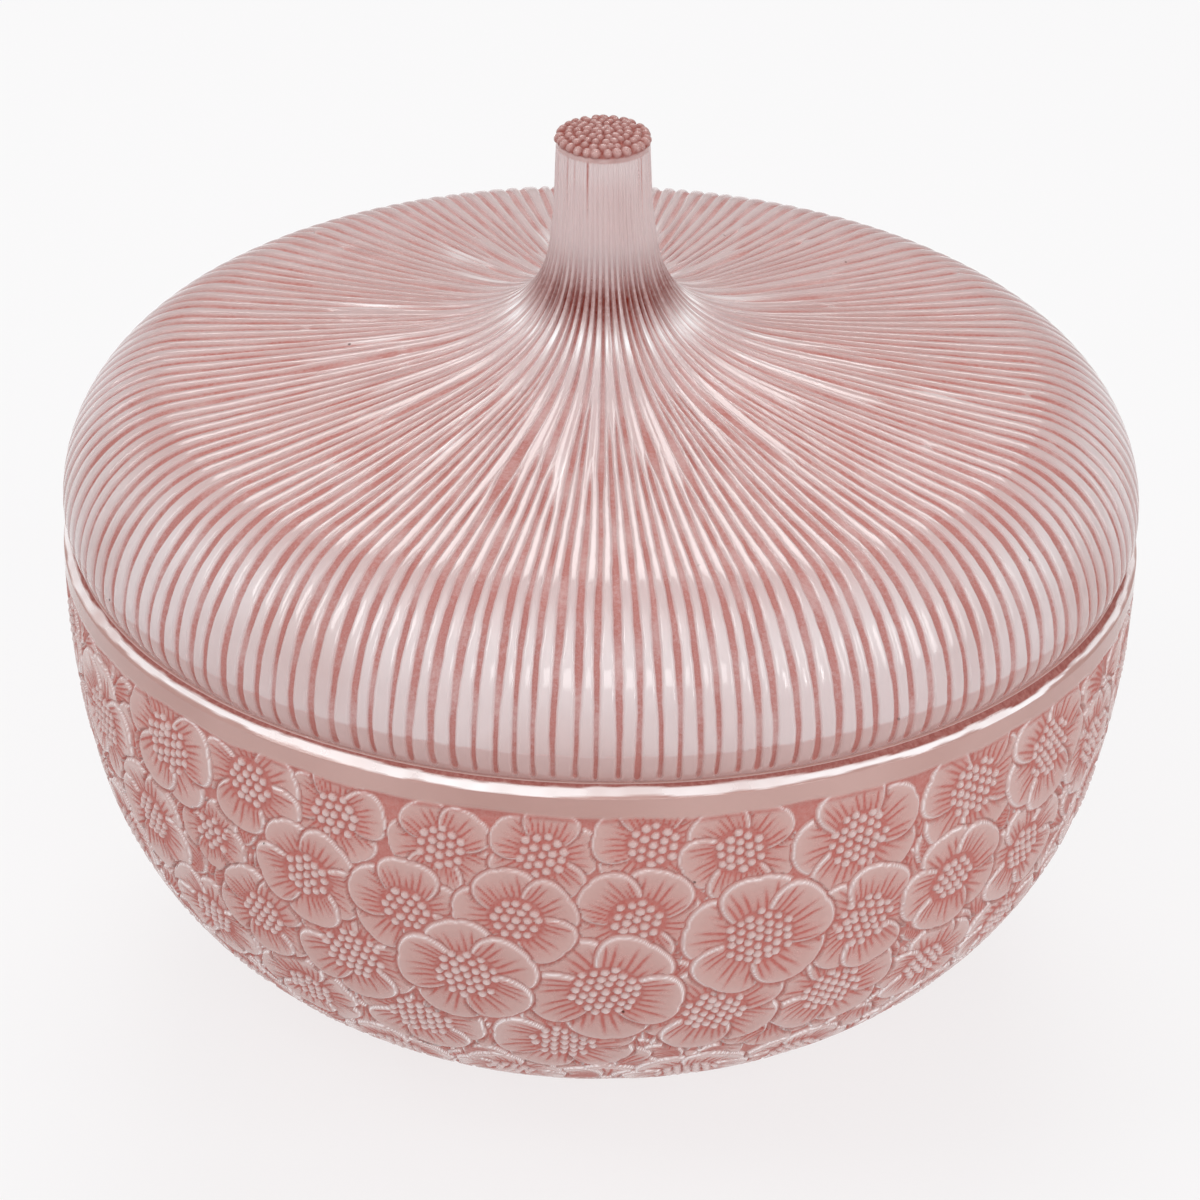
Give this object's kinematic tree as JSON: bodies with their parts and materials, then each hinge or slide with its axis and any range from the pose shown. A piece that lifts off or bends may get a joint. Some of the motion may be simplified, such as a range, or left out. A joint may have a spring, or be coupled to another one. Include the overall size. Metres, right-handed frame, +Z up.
{
  "type": "covered candy dish",
  "caption": "Round pressed-glass candy dish with a domed, ribbed lid and a slim finger stem, over a bowl covered in raised five-petalled flowers.",
  "frame": {"origin": "on the table, under the middle of the bowl's ground base", "axes": "+Z up along the dish's axis of revolution; +X and +Y are arbitrary because both pieces are round"},
  "size_m": [0.15, 0.15, 0.126],
  "materials": {
    "bowl_glass": "moulded flower relief, polished high spots over a matt rose stain in the hollows",
    "lid_glass": "polished clear ribs between matt rose-stained grooves"
  },
  "bodies": {
    "bowl": {"bowl": "bowl_glass"},
    "lid": {"lid": "lid_glass"}
  },
  "joints": [
    {"name": "lid_lift", "type": "slide", "parent": "bowl", "child": "lid", "axis": [0, 0, 1], "range_m": [0, 0.12]}
  ]
}
